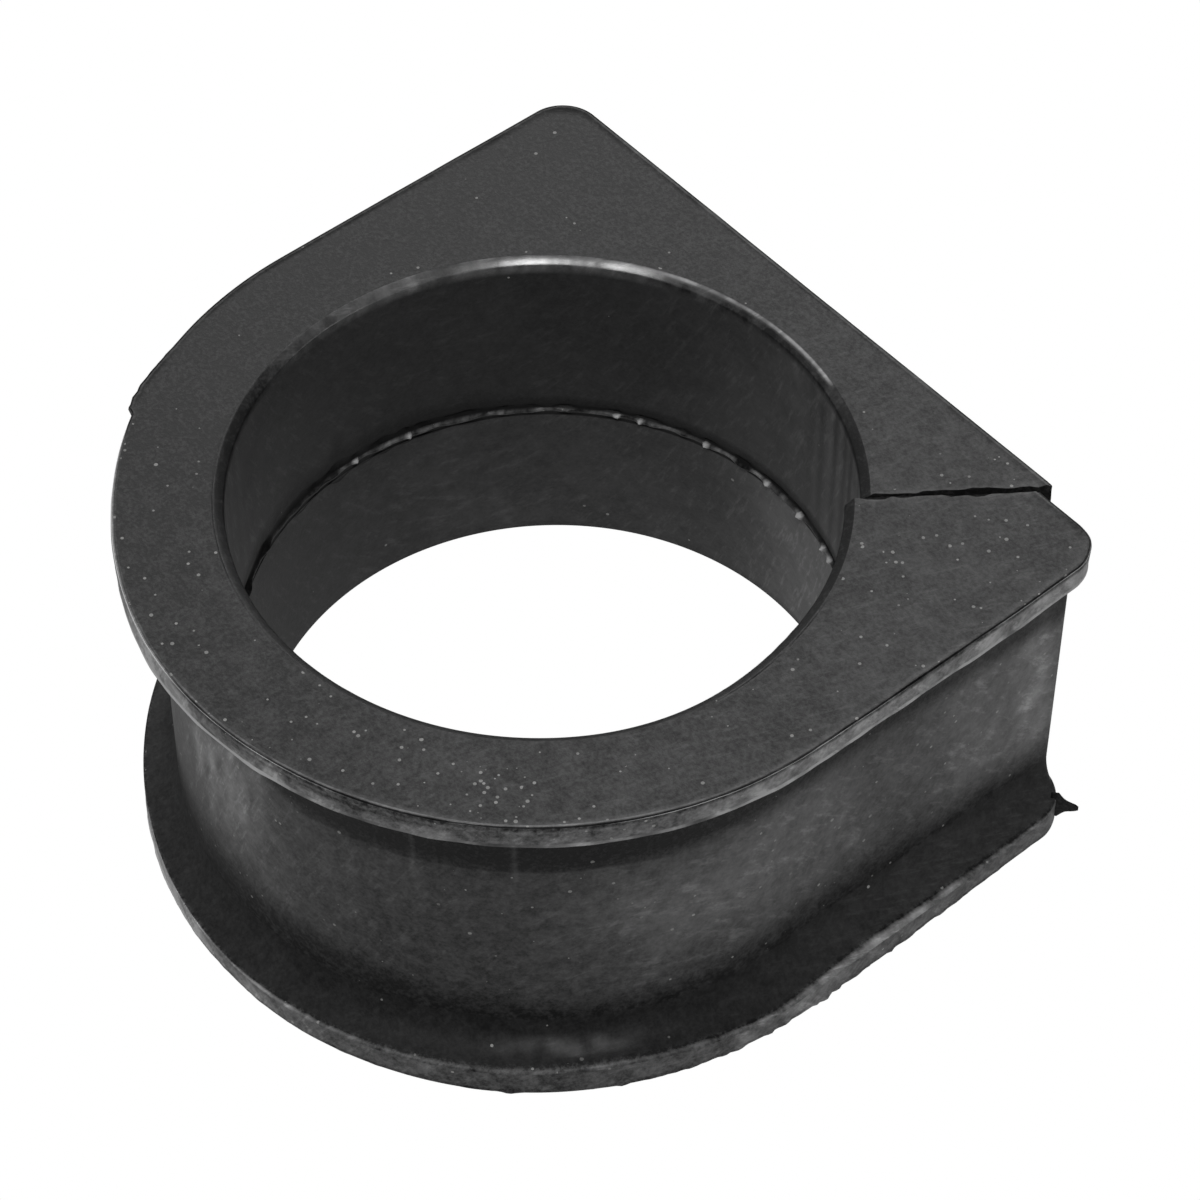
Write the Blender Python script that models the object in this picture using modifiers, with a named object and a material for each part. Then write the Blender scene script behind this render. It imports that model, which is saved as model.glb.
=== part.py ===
"""Steering rack bushing: one moulded rubber ring with a flat seat, split on one side.

The row's origin is on the lower end face, under the middle of the outline. +Z runs along the bore,
+Y points to the flat seat and the rounded nose is at -Y. The slit opens through the seat at +X.
"""

import math

import bmesh
import bpy
from mathutils import Matrix, Vector

# Main sizes, in metres
BORE_RADIUS = 0.0250
LENGTH = 0.0340
HALF_WIDTH = 0.0334
SEAT_DISTANCE = 0.0306
NOSE_OFFSET = 0.0004
NOSE_DRAFT = 0.0004

# End flanges and the groove between them
UPPER_FLANGE = 0.0023
LOWER_FLANGE = 0.0028
FLANGE_CORNER = 0.0034
FLANGE_EDGE = 0.00025
FLANGE_DRAFT = 0.0001
GROOVE_DEPTH = 0.0031
WEB_CORNER = 0.0013
UPPER_FILLET = 0.0013
LOWER_FILLET = 0.0026

# Bore: two cores meet at the parting line, and the lower one leans towards the seat
BORE_EDGE = 0.0007
PARTING_HEIGHT = 0.0163
RIDGE_PROUD = 0.0003
RIDGE_HALF = 0.0004
CORE_LEAN = Vector((-0.0004, 0.0013))

# Slit and the lip beside it, which has sprung inwards
SLIT_AT_SEAT = 0.0258
SLIT_ANGLE = math.radians(36.0)
SLIT_KERF = 0.00005
LIP_SLIP = 0.0013
LIP_PINCH = 0.00045
LIP_HINGE = math.radians(116.0)
LIP_BEND = math.radians(46.0)

# Steps along each stretch of the shape
NOSE_STEPS = 44
SIDE_STEPS = 10
CORNER_STEPS = 6
SEAT_STEPS = 10
FILLET_STEPS = 5
EDGE_STEPS = 2
MOUTH_STEPS = 3
BORE_STEPS = 72
CUT_MARGIN = 0.002

# The outline reaches from the nose to the seat, and its middle is the row's origin
BORE_Y = (HALF_WIDTH + NOSE_OFFSET + NOSE_DRAFT - SEAT_DISTANCE) / 2


def clear_scene():
    """Remove every object that the file starts with."""
    for obj in list(bpy.data.objects):
        bpy.data.objects.remove(obj)


def new_collection(name):
    """Add a collection under the scene."""
    collection = bpy.data.collections.new(name)
    bpy.context.scene.collection.children.link(collection)
    return collection


def rubber():
    """Black moulded rubber, dull with a little bloom."""
    material = bpy.data.materials.new("black_rubber")
    material.use_nodes = True
    shader = material.node_tree.nodes["Principled BSDF"]
    shader.inputs["Base Color"].default_value = (0.035, 0.035, 0.036, 1.0)
    shader.inputs["Roughness"].default_value = 0.6
    shader.inputs["Metallic"].default_value = 0.0
    return material


def apply_modifiers(obj):
    """Give the object the mesh that its modifiers make."""
    loose = not obj.users_collection
    if loose:
        bpy.context.scene.collection.objects.link(obj)
    bpy.context.view_layer.update()
    graph = bpy.context.evaluated_depsgraph_get()
    obj.data = bpy.data.meshes.new_from_object(obj.evaluated_get(graph))
    obj.modifiers.clear()
    if loose:
        bpy.context.scene.collection.objects.unlink(obj)


def arc(centre, radius, start, end, steps):
    """Points along an arc, both ends included, with angles counted from +X."""
    points = []
    for step in range(steps + 1):
        angle = start + (end - start) * step / steps
        points.append((centre[0] + radius * math.cos(angle), centre[1] + radius * math.sin(angle)))
    return points


def line(start, end, steps):
    """Points along a straight stretch, without its ends."""
    return [
        tuple(a + (b - a) * step / steps for a, b in zip(start, end)) for step in range(1, steps)
    ]


def outline(height, side_inset, seat_inset):
    """One level of the outer surface, seen from above and run counter-clockwise from the nose's left end."""
    half = HALF_WIDTH - side_inset
    seat = SEAT_DISTANCE - seat_inset
    inset_share = side_inset / GROOVE_DEPTH
    corner = FLANGE_CORNER + (WEB_CORNER - FLANGE_CORNER) * inset_share
    nose = -NOSE_OFFSET - NOSE_DRAFT * (1 - height / LENGTH)
    points = arc((0, nose), half, math.pi, 2 * math.pi, NOSE_STEPS)
    points += line((half, nose), (half, seat - corner), SIDE_STEPS)
    points += arc((half - corner, seat - corner), corner, 0, math.pi / 2, CORNER_STEPS)
    points += line((half - corner, seat), (corner - half, seat), SEAT_STEPS)
    points += arc((corner - half, seat - corner), corner, math.pi / 2, math.pi, CORNER_STEPS)
    points += line((-half, seat - corner), (-half, nose), SIDE_STEPS)
    return [Vector((x, y + BORE_Y, height)) for x, y in points]


def rounded_edge(low, upwards):
    """Levels of a small rounded edge of the end face, as (height, side inset, seat inset)."""
    levels = []
    for x, z in arc((0, 0), FLANGE_EDGE, 0, math.pi / 2, EDGE_STEPS):
        inset = FLANGE_EDGE - x
        levels.append((low + z if upwards else low - z, inset, inset))
    return levels


def fillet(flange_face, radius, upwards):
    """Levels of a hollow fillet from a flange's inner face to the web, flange first."""
    levels = []
    for x, z in arc((0, 0), radius, math.pi / 2, 0, FILLET_STEPS):
        rise = radius - z
        levels.append((flange_face + (rise if upwards else -rise), GROOVE_DEPTH - radius + x, 0.0))
    return levels


def outer_levels():
    """Every level of the outer surface from the lower end face to the upper one.

    A flange's inner face rises a little towards the web, which is its draft in the mould.
    """
    lower_face = LOWER_FLANGE
    upper_face = LENGTH - UPPER_FLANGE
    levels = rounded_edge(FLANGE_EDGE, False)[::-1]
    levels.append((lower_face - FLANGE_EDGE, 0.0, 0.0))
    levels.append((lower_face, FLANGE_EDGE, 0.0))
    levels += fillet(lower_face + FLANGE_DRAFT, LOWER_FILLET, True)
    levels += fillet(upper_face - FLANGE_DRAFT, UPPER_FILLET, False)[::-1]
    levels.append((upper_face, FLANGE_EDGE, 0.0))
    levels.append((upper_face + FLANGE_EDGE, 0.0, 0.0))
    levels += rounded_edge(LENGTH - FLANGE_EDGE, True)
    return levels


def moulded_block():
    """The bushing before its bore is cut: a loft through outlines that differ from level to level."""
    mesh = bmesh.new()
    rings = [[mesh.verts.new(p) for p in outline(*level)] for level in outer_levels()]
    count = len(rings[0])
    for lower, upper in zip(rings, rings[1:]):
        for i in range(count):
            j = (i + 1) % count
            mesh.faces.new((lower[i], lower[j], upper[j], upper[i]))
    mesh.faces.new(rings[0][::-1])
    mesh.faces.new(rings[-1])
    data = bpy.data.meshes.new("rubber_bushing")
    mesh.to_mesh(data)
    mesh.free()
    return bpy.data.objects.new("rubber_bushing", data)


def turned(name, profile):
    """Solid of revolution about Z from a profile that runs down its outer side."""
    data = bpy.data.meshes.new(name)
    points = [(x, 0.0, z) for x, z in profile]
    data.from_pydata(points, [(i, i + 1) for i in range(len(points) - 1)], [])
    obj = bpy.data.objects.new(name, data)
    screw = obj.modifiers.new("turn", "SCREW")
    screw.steps = BORE_STEPS
    screw.render_steps = BORE_STEPS
    screw.use_merge_vertices = True
    screw.merge_threshold = 0.00001
    apply_modifiers(obj)
    return obj


def bore_core():
    """Core that leaves the bore, with a rounded mouth at each end and the ridge at the parting line.

    Below the parting line its levels stay flat and slide sideways as they go down.
    """
    mouth_radius = BORE_RADIUS + BORE_EDGE
    profile = [(0, LENGTH + CUT_MARGIN), (mouth_radius, LENGTH + CUT_MARGIN)]
    profile += arc((mouth_radius, LENGTH - BORE_EDGE), BORE_EDGE, math.pi / 2, math.pi, MOUTH_STEPS)
    profile.append((BORE_RADIUS, PARTING_HEIGHT + RIDGE_HALF))
    profile.append((BORE_RADIUS - RIDGE_PROUD, PARTING_HEIGHT))
    profile.append((BORE_RADIUS, PARTING_HEIGHT - RIDGE_HALF))
    profile += arc((mouth_radius, BORE_EDGE), BORE_EDGE, math.pi, 1.5 * math.pi, MOUTH_STEPS)
    profile += [(mouth_radius, -CUT_MARGIN), (0, -CUT_MARGIN)]
    core = turned("bore_core", profile)
    slope = CORE_LEAN / PARTING_HEIGHT
    for vertex in core.data.vertices:
        drop = max(0.0, PARTING_HEIGHT - vertex.co.z)
        vertex.co.x += slope.x * drop
        vertex.co.y += slope.y * drop
    core.location = (0, BORE_Y, 0)
    return core


def knife():
    """Thin blade that cuts the slit from the bore out through the seat."""
    along = Vector((math.sin(SLIT_ANGLE), math.cos(SLIT_ANGLE), 0))
    mouth = Vector((SLIT_AT_SEAT, SEAT_DISTANCE + BORE_Y, LENGTH / 2))
    wall = (SEAT_DISTANCE - BORE_RADIUS * math.cos(SLIT_ANGLE)) / math.cos(SLIT_ANGLE)
    reach = wall + BORE_RADIUS / 2
    mesh = bmesh.new()
    bmesh.ops.create_cube(mesh, size=1.0)
    size = Matrix.Diagonal((SLIT_KERF, reach + CUT_MARGIN, LENGTH + 2 * CUT_MARGIN, 1))
    bmesh.ops.transform(mesh, matrix=size, verts=mesh.verts)
    data = bpy.data.meshes.new("slit_knife")
    mesh.to_mesh(data)
    mesh.free()
    blade = bpy.data.objects.new("slit_knife", data)
    blade.location = mouth + along * (CUT_MARGIN - reach) / 2
    blade.rotation_euler = (0, 0, -SLIT_ANGLE)
    return blade


def cut(target, cutters, collection):
    """Subtract each cutter from the target and leave the cutters as hidden wires."""
    for cutter in cutters:
        collection.objects.link(cutter)
        cutter.hide_render = True
        cutter.display_type = "WIRE"
        boolean = target.modifiers.new(cutter.name, "BOOLEAN")
        boolean.operation = "DIFFERENCE"
        boolean.solver = "EXACT"
        boolean.object = cutter


def lip_move(point):
    """How far the sprung lip carries a point, fading out round the ring from the slit."""
    bore = Vector((point.x, point.y - BORE_Y))
    across = Vector((math.cos(SLIT_ANGLE), -math.sin(SLIT_ANGLE)))
    if (bore - Vector((SLIT_AT_SEAT, SEAT_DISTANCE))).dot(across) < 0:
        return Vector((0, 0, 0))
    share = (LIP_HINGE - math.atan2(abs(bore.x), bore.y)) / LIP_BEND
    share = min(1.0, max(0.0, share))
    share = share * share * (3 - 2 * share)
    inner = 1 - (bore.length - BORE_RADIUS) / (SEAT_DISTANCE / math.cos(math.pi / 4) - BORE_RADIUS)
    return Vector((-LIP_PINCH * share * min(1.0, max(0.0, inner)), -LIP_SLIP * share, 0))


def spring_lip(bushing):
    """Apply the cuts, then move the lip on the +X side of the slit inwards."""
    apply_modifiers(bushing)
    for vertex in bushing.data.vertices:
        vertex.co += lip_move(vertex.co)


def main():
    """Build the bushing."""
    clear_scene()
    parts = new_collection("steering_rack_bushing")
    cutters = new_collection("cutters")
    bushing = moulded_block()
    parts.objects.link(bushing)
    cut(bushing, (bore_core(), knife()), cutters)
    spring_lip(bushing)
    bushing.data.materials.clear()
    bushing.data.materials.append(rubber())
    bushing.data.shade_smooth()
    bushing.data.set_sharp_from_angle(angle=math.radians(35.0))


main()
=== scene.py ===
"""Steering rack bushing: the split moulded ring, its rubber finish and the studio round it."""

import logging
import math
from dataclasses import dataclass, field
from enum import Enum
from functools import cache
from typing import Any

import bpy
import numpy as np
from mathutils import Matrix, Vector, noise


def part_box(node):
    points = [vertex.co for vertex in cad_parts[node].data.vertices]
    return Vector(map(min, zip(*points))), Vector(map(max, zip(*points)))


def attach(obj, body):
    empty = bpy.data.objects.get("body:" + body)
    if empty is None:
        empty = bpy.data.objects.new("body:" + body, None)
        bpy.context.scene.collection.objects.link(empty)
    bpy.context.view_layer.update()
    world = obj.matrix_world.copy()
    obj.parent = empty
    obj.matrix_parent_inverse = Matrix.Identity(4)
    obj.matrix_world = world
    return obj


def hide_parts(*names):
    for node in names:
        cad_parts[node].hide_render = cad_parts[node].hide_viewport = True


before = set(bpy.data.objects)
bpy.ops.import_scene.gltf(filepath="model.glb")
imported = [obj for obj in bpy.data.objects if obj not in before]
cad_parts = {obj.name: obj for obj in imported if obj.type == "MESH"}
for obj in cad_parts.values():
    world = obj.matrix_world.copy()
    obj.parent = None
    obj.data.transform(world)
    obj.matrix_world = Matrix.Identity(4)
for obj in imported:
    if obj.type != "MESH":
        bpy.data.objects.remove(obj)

LOG = logging.getLogger("steering_rack_bushing")

MM = 0.001
FULL_TURN = 2.0 * math.pi
WHITE = (1.0, 1.0, 1.0, 1.0)
NODE = "rubber_bushing"
BORE_Y = 1.8 * MM
OUTER_RADIUS = 33.0 * MM
TOWARD_SLIT = (0.646, 0.763)

Points = np.ndarray
Socket = bpy.types.NodeSocket


def smooth(share: np.ndarray | float) -> np.ndarray:
    """Ease a share from 0 to 1, held at its ends.

    Args:
        share: How far along, below 0 before the start and above 1 after the end.

    Returns:
        The eased share.
    """
    held = np.clip(share, 0.0, 1.0)
    return held * held * (3.0 - 2.0 * held)


def hump(places: np.ndarray, centre: float, reach: float) -> np.ndarray:
    """Rise smoothly to 1 at a centre and fall to 0 at a reach on both sides.

    Args:
        places: Where the hump is read.
        centre: Where it is 1.
        reach: How far it spreads to each side.

    Returns:
        The height of the hump at each place.
    """
    return smooth(1.0 - np.abs(places - centre) / reach)


def ring_noise(turn: np.ndarray, lump: float, seed: float) -> np.ndarray:
    """Noise that runs round the ring and meets itself.

    Args:
        turn: Angles round the bore, in radians.
        lump: Length of one lump on the outside of the ring, in metres.
        seed: Number that sets this noise apart from the others.

    Returns:
        Values from about -1 to 1.
    """
    reach = OUTER_RADIUS / lump
    return np.array(
        [noise.noise(Vector((reach * math.sin(a), reach * math.cos(a), seed))) for a in turn]
    )


def quarter(share: float) -> tuple[float, float]:
    """Sine and cosine at a share of a quarter turn."""
    return math.sin(share * math.pi / 2.0), math.cos(share * math.pi / 2.0)


def stand(name: str, data: bpy.types.ID) -> bpy.types.Object:
    """Make an object and put it in the scene.

    Args:
        name: The object's name.
        data: Its mesh, lamp or camera.

    Returns:
        The new object.
    """
    made = bpy.data.objects.new(name, data)
    bpy.context.scene.collection.objects.link(made)
    return made


@dataclass(frozen=True)
class Course:
    """A value that changes round the ring in straight runs between angles in degrees."""

    places: tuple[tuple[float, float], ...]
    period: float | None = None

    def at(self, angle: np.ndarray) -> np.ndarray:
        """The value at each angle."""
        angles, values = zip(*self.places)
        return np.interp(angle, angles, values, period=self.period)


class Place(Enum):
    """Places round the ring: the centre and the reach to each side, in degrees from the seat."""

    RIGHT_WEB = (92.0, 44.0)
    RIGHT_CORNER = (54.0, 12.0)
    LEFT_WEB = (186.0, 17.0)
    LEFT_UNDER_FLANGE_SHADE = (180.0, 6.0)
    LEFT_STREAKS = (178.0, 9.0)
    NOSE_WEB = (142.0, 34.0)
    CORNER_EDGE = (47.5, 4.0)
    NOSE_FILLET_HIGHLIGHT = (127.0, 14.0)
    RIGHT_FILLET = (62.0, 40.0)
    LEFT_WITNESS = (212.0, 42.0)
    RIGHT_WITNESS = (82.0, 22.0)
    LEFT_EDGE = (285.0, 70.0)
    CORNER_SCRAP = (46.6, 1.8)
    PINCHED_MOUTH = (88.0, 34.0)
    FRONT_CREST = (145.0, 75.0)
    LEFT_SHALLOW = (172.0, 20.0)
    CORNER_SHALLOW = (53.0, 12.0)
    FADED_LINE = (98.0, 26.0)
    THIN_RIM = (80.0, 27.0)
    RIM_DIP = (155.0, 32.0)
    RIM_SLOPE = (148.0, 50.0)
    EVEN_EDGE = (174.0, 22.0)
    PAINTED_HIGHLIGHT_EDGE = (185.0, 22.0)
    DULL_EDGE = (148.0, 34.0)
    GLOSSY_EDGE = (188.0, 20.0)
    LIT_BEND = (71.0, 14.0)
    FOOT_SLOPE = (176.0, 26.0)
    RIGHT_FLASH = (82.0, 38.0)
    LEFT_FLASH_AND_HIGHLIGHT = (201.0, 22.0)
    NOSE_TOOTH = (134.7, 1.6)
    SMALL_TOOTH = (119.6, 1.2)
    FAR_RIDGE_SHADE = (262.0, 55.0)


@dataclass(frozen=True)
class Stations:
    """The stations round the ring, by their angles in radians from the seat towards the slit."""

    turn: np.ndarray

    @property
    def angle(self) -> np.ndarray:
        """Degrees from the seat, from 0 to 360."""
        return np.degrees(self.turn) % 360.0

    def off(self, centre: float) -> np.ndarray:
        """Degrees from a centre, from -180 to 180."""
        return (np.degrees(self.turn) - centre + 180.0) % 360.0 - 180.0

    def along(self, course: Course) -> np.ndarray:
        """What a course in millimetres gives at each station, in metres."""
        return course.at(self.angle) * MM

    def near(self, place: Place) -> np.ndarray:
        """How near each station is to a place, from 0 to 1."""
        return hump(self.angle, *place.value)

    def noise(self, lump: float, seed: float) -> np.ndarray:
        """Noise round the ring, with the length of its lumps in millimetres."""
        return ring_noise(self.turn, lump * MM, seed)


class Tone(Enum):
    """Pale bloom, with painted light and shade on some kinds, roughness, strength of the grain and
    share of dust on each kind of surface.
    """

    TOP_FACE = (0.060, 0.50, 1.0, 0.3)
    UPPER_RIM = (0.62, 0.50, 3.4, 0.5)
    # Pale lower edge of the upper rim: partly flash, partly a painted highlight where the edge
    # catches the light.
    RIM_EDGE_AND_HIGHLIGHT = (1.10, 0.42, 1.0, 0.6)
    # Near-black line in the groove at the upper edge: painted shade.
    SHADED_EDGE_LINE = (0.01, 0.62, 0.4, 0.0)
    EDGE_CREST = (0.22, 0.42, 1.2, 0.8)
    # No bloom on the upper flange's inner face and fillet: painted shade under the flange.
    SHADED_UNDERSIDE = (0.00, 0.62, 0.4, 0.0)
    WEB = (0.23, 0.52, 1.2, 0.18)
    LOWER_FILLET = (0.02, 0.66, 0.4, 0.04)
    LOWER_RIM = (0.42, 0.50, 2.3, 0.3)
    BOTTOM_FACE = (0.10, 0.52, 0.8, 0.1)
    SEAT = (0.20, 0.52, 1.0, 0.12)
    MOUTH = (0.12, 0.52, 0.8, 0.0)
    BORE_LOWER = (0.16, 0.52, 0.45, 0.02)
    BORE_UPPER = (0.08, 0.53, 0.3, 0.02)
    RIDGE = (0.75, 0.45, 1.2, 0.1)
    RIDGE_SHADE = (0.00, 0.66, 0.2, 0.0)


@dataclass(frozen=True)
class Level:
    """One run of points, measured from the bore's axis, and the finish and painted light and shade
    that they carry.
    """

    points: Points
    bloom: np.ndarray | float
    rough: np.ndarray | float
    grain: np.ndarray | float
    dust: np.ndarray | float
    gloss: np.ndarray | float = 0.0


def level(
    points: Points,
    tone: Tone,
    bloom: np.ndarray | float = 1.0,
    rough: np.ndarray | float = 1.0,
    dust: np.ndarray | float = 1.0,
    gloss: np.ndarray | float = 0.0,
) -> Level:
    """Give a run of points the tone of its surface.

    Args:
        points: A row of places.
        tone: The surface's tone.
        bloom: What the tone's bloom is multiplied by.
        rough: What the tone's roughness is multiplied by.
        dust: What the tone's dust is multiplied by.
        gloss: How far the surface is rubbed glossy.

    Returns:
        The finished level.
    """
    base, coarse, grain, dusty = tone.value
    return Level(points, base * bloom, coarse * rough, grain, dusty * dust, gloss)


@dataclass
class Slit:
    """The cut through the seat, and the lip beside it that has sprung inwards."""

    seat: float
    bore_radius: float
    seat_x: float = 25.8 * MM
    lean: float = math.radians(36.0)
    slip: float = 1.3 * MM
    pinch: float = 0.45 * MM
    hinge: float = math.radians(116.0)
    bend: float = math.radians(46.0)
    ragged: float = 0.22 * MM
    notch_reach: float = 34.2 * MM
    notch_half: float = 1.3 * MM
    notch_depth: float = 0.22 * MM
    closing: float = 0.07 * MM
    closing_run: float = 6.0 * MM
    coarse_tears: float = 900.0
    fine_tears: float = 2100.0
    fine_share: float = 0.9

    def outer_angle(self) -> float:
        """Angle round the bore at which the cut leaves through the seat."""
        return math.atan2(self.seat_x, self.seat)

    def bore_angle(self, radius: float, centre: Vector) -> float:
        """Find where the cut meets a circle of the bore.

        Args:
            radius: The circle's radius.
            centre: The circle's centre.

        Returns:
            The angle about that centre, from the seat's direction.
        """
        along = Vector((math.sin(self.lean), math.cos(self.lean)))
        start = Vector((self.seat_x, self.seat)) - centre
        ahead = start.dot(along)
        travel = ahead - math.sqrt(ahead**2 - start.length_squared + radius**2)
        place = start - along * travel
        return math.atan2(place.x, place.y)

    def spring(self, points: Points, turn: np.ndarray) -> Points:
        """Move the lip inwards and along the cut.

        Args:
            points: Places of all levels, measured from the bore's axis.
            turn: Angle of each station round the ring.

        Returns:
            The moved places.
        """
        reach = np.hypot(points[..., 0], points[..., 1])
        angle = np.arctan2(np.abs(points[..., 0]), points[..., 1])
        share = smooth((self.hinge - angle) / self.bend) * (turn < math.pi)
        wall = self.seat / math.cos(math.radians(45.0)) - self.bore_radius
        inner = np.clip(1.0 - (reach - self.bore_radius) / wall, 0.0, 1.0)
        moved = points.copy()
        moved[..., 0] -= self.pinch * share * inner
        moved[..., 1] -= self.slip * share
        return moved

    def roughen(self, points: Points) -> Points:
        """Make both faces of the cut slightly jagged.

        Args:
            points: Places of all levels, with a face of the cut at each end.

        Returns:
            The places with the first and last station moved.
        """
        across = np.array((math.cos(self.lean), -math.sin(self.lean), 0.0))
        torn = points.copy()
        for station, side in ((0, 1.0), (-1, -1.0)):
            for row, place in enumerate(points[:, station]):
                spot = Vector(place)
                tear = noise.noise(spot * self.coarse_tears)
                tear += self.fine_share * noise.noise(spot * self.fine_tears)
                reach = np.array(math.hypot(place[0], place[1]))
                closed = float(smooth((reach - self.bore_radius) / self.closing_run))
                notch = self.notch_depth * float(hump(reach, self.notch_reach, self.notch_half))
                moved = self.ragged * tear - self.closing * closed + notch
                torn[row, station] += across * side * moved
        return torn


@dataclass(frozen=True)
class Bloom(Stations):
    """Where the bloom, the dust and the painted light and shade lie, by angle from the seat and by
    height in metres.
    """

    # Lower edge of the painted shadow that the upper flange casts on the web.
    band: Course = Course((
        (50, 22.4), (90, 23.2), (119, 24.1), (150, 24.0), (167, 23.9),
        (172, 24.8), (176, 26.3), (180, 28.0), (188, 34.5),
    ))
    upper_shares: Course = Course((
        (45, 2.9), (66, 1.8), (76, 1.5), (86, 1.9), (96, 1.4), (108, 1.8), (117, 0.8), (124, 0.6),
        (136, 1.1), (150, 0.85), (164, 1.3), (178, 0.9), (190, 2.6), (205, 0.9), (212, 0.1),
        (250, 0.6), (300, 1.0),
    ), 360.0)
    lower_shares: Course = Course((
        (50, 1.35), (62, 1.1), (90, 1.9), (112, 0.85), (122, 0.6), (142, 0.6), (152, 0.9),
        (162, 1.4), (172, 1.9), (184, 2.8), (196, 3.2), (212, 1.5), (230, 0.4), (290, 1.0),
    ), 360.0)
    # Depth and softness of the painted shadow band round the ring.
    shadow_band_depth: Course = Course(((60, 0.8), (110, 1.0)))
    shadow_band_softness: Course = Course(((80, 1.5), (119, 0.45), (165, 0.5), (175, 1.6)))
    foot_fade: Course = Course(((60, 7.5), (100, 6.5), (130, 4.5)))
    mould_lines: tuple[float, ...] = (148.7, 133.8)
    mould_line_half: float = 0.8
    dust_spots: tuple[tuple[float, float, float, float], ...] = (
        (20.7 * MM, -21.3 * MM, 4.6 * MM, 16.0),
        (22.0 * MM, 22.0 * MM, 15.0 * MM, 1.7),
    )
    swirl: tuple[float, float, float] = (76.0, 14.5 * MM, 2.2 * MM)

    def front_right(self, points: Points) -> np.ndarray:
        """How far places lie towards the front right, as a share of the ring's radius."""
        x, y = TOWARD_SLIT
        return (y * points[..., 0] - x * points[..., 1]) / OUTER_RADIUS

    def top(self, points: Points) -> np.ndarray:
        """Bloom of the upper end face, thicker towards the right side, where the slit is.

        Args:
            points: Places on the face, measured from the bore's axis.

        Returns:
            What the face's bloom is multiplied by.
        """
        x, y = TOWARD_SLIT
        back_right = (x * points[..., 0] + y * points[..., 1]) / OUTER_RADIUS
        return np.clip(1.0 + 0.65 * back_right + 0.65 * self.front_right(points), 0.15, 2.2)

    def dust(self, points: Points) -> np.ndarray:
        """Dust on the upper end face: a cluster at the front right, more at the nose and the slit.

        Args:
            points: Places on the face, measured from the bore's axis.

        Returns:
            What the face's dust is multiplied by.
        """
        dusty = 0.15 + 0.85 * smooth((self.front_right(points) + 0.35) / 0.7)
        for x, y, reach, weight in self.dust_spots:
            away = np.hypot(points[..., 0] - x, points[..., 1] - y)
            dusty = dusty + weight * smooth(1.0 - away / reach)
        return dusty + hump(points[..., 1], -24.0 * MM, 12.0 * MM)

    def shadow_band_edge(self) -> np.ndarray:
        """Height of the lower edge of the painted shadow band under the upper flange."""
        return (self.band.at(self.angle) + 0.12 * self.noise(3.0, 61.0)) * MM

    def web(self, height: np.ndarray) -> np.ndarray:
        """Bloom of the web: pale patches, the left one partly painted light, a painted shadow band
        under the flange and a dark foot.

        Args:
            height: Height above the lower end face at each station.

        Returns:
            What the web's bloom is multiplied by.
        """
        angle = self.angle
        level_seed = 220.0 * float(np.mean(height))
        right = self.near(Place.RIGHT_WEB) * hump(height, 18.0 * MM, 12.0 * MM)
        corner = self.near(Place.RIGHT_CORNER)
        spread = 1.0 + 0.2 * smooth((16.0 * MM - height) / (8.0 * MM))
        # The pale patch at the left is partly bloom and partly painted light from the lamps on the
        # left.
        left = self.near(Place.LEFT_WEB) * smooth((height - 10.0 * MM) / (11.0 * MM)) * spread
        # Painted shade right under the flange at the left.
        left *= 1.0 - 0.6 * self.near(Place.LEFT_UNDER_FLANGE_SHADE) * smooth((height - 25.5 * MM) / (2.0 * MM))
        left *= 1.0 + 0.35 * hump(height, 23.5 * MM, 3.0 * MM) * self.near(Place.LEFT_STREAKS)
        fan = self.turn + 6.0 * (height - 20.0 * MM)
        wisps = np.clip(1.0 + 1.7 * ring_noise(fan, 1.5 * MM, 3.0 + level_seed), 0.1, 2.5)
        bloom = 1.0 - 0.4 * self.near(Place.NOSE_WEB)
        bloom = bloom + 1.5 * right + 1.4 * corner + 2.7 * left * wisps
        bloom += 2.0 * self.near(Place.CORNER_EDGE) * (0.6 + 0.4 * wisps)
        away = np.hypot((angle - self.swirl[0]) * 0.6 * MM, height - self.swirl[1])
        bloom += 1.3 * hump(away, self.swirl[2], 1.0 * MM) * np.clip(wisps - 0.4, 0.0, 1.5)
        # Painted shadow of the upper flange: the web is darker above the band's edge.
        band = smooth((height - self.shadow_band_edge()) / self.along(self.shadow_band_softness))
        shown = smooth((186.0 - angle) / 6.0) * (angle > 40.0)
        bloom *= 1.0 - band * shown * self.shadow_band_depth.at(angle)
        for line in self.mould_lines:
            mark = hump(angle, line, self.mould_line_half)
            bloom += 0.9 * mark * smooth((height - 21.0 * MM) / (4.0 * MM))
        edge = (4.4 + 3.1 * smooth((angle - 110.0) / 70.0)) * MM
        fade = self.along(self.foot_fade)
        return 0.12 - 0.1 * band * shown + bloom * smooth((height - edge) / fade)

    def fillet(self, share: float) -> np.ndarray:
        """Faint pale patch low in the fillet at the nose: a painted highlight where the key light
        glints, streaked like bloom.

        Args:
            share: How far down the fillet.

        Returns:
            The bloom itself.
        """
        streaks = np.clip(0.6 + 1.2 * self.noise(1.6, 9.0 + 3.0 * share), 0.0, 1.4)
        low = float(hump(np.array(share), 0.68, 0.3))
        # Painted highlight of the key light low in the fillet at the nose.
        patch = 0.30 * self.near(Place.NOSE_FILLET_HIGHLIGHT) * streaks * low
        return patch + 0.035 + 0.06 * self.near(Place.RIGHT_FILLET)

    def upper_rim(self) -> np.ndarray:
        """Bloom of the upper rim, thickest at the left of the nose."""
        scuffs = 1.0 + 0.45 * self.noise(3.0, 12.5) + 0.35 * self.noise(0.9, 71.0)
        return self.upper_shares.at(self.angle) * np.clip(scuffs, 0.2, 2.0)

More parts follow.
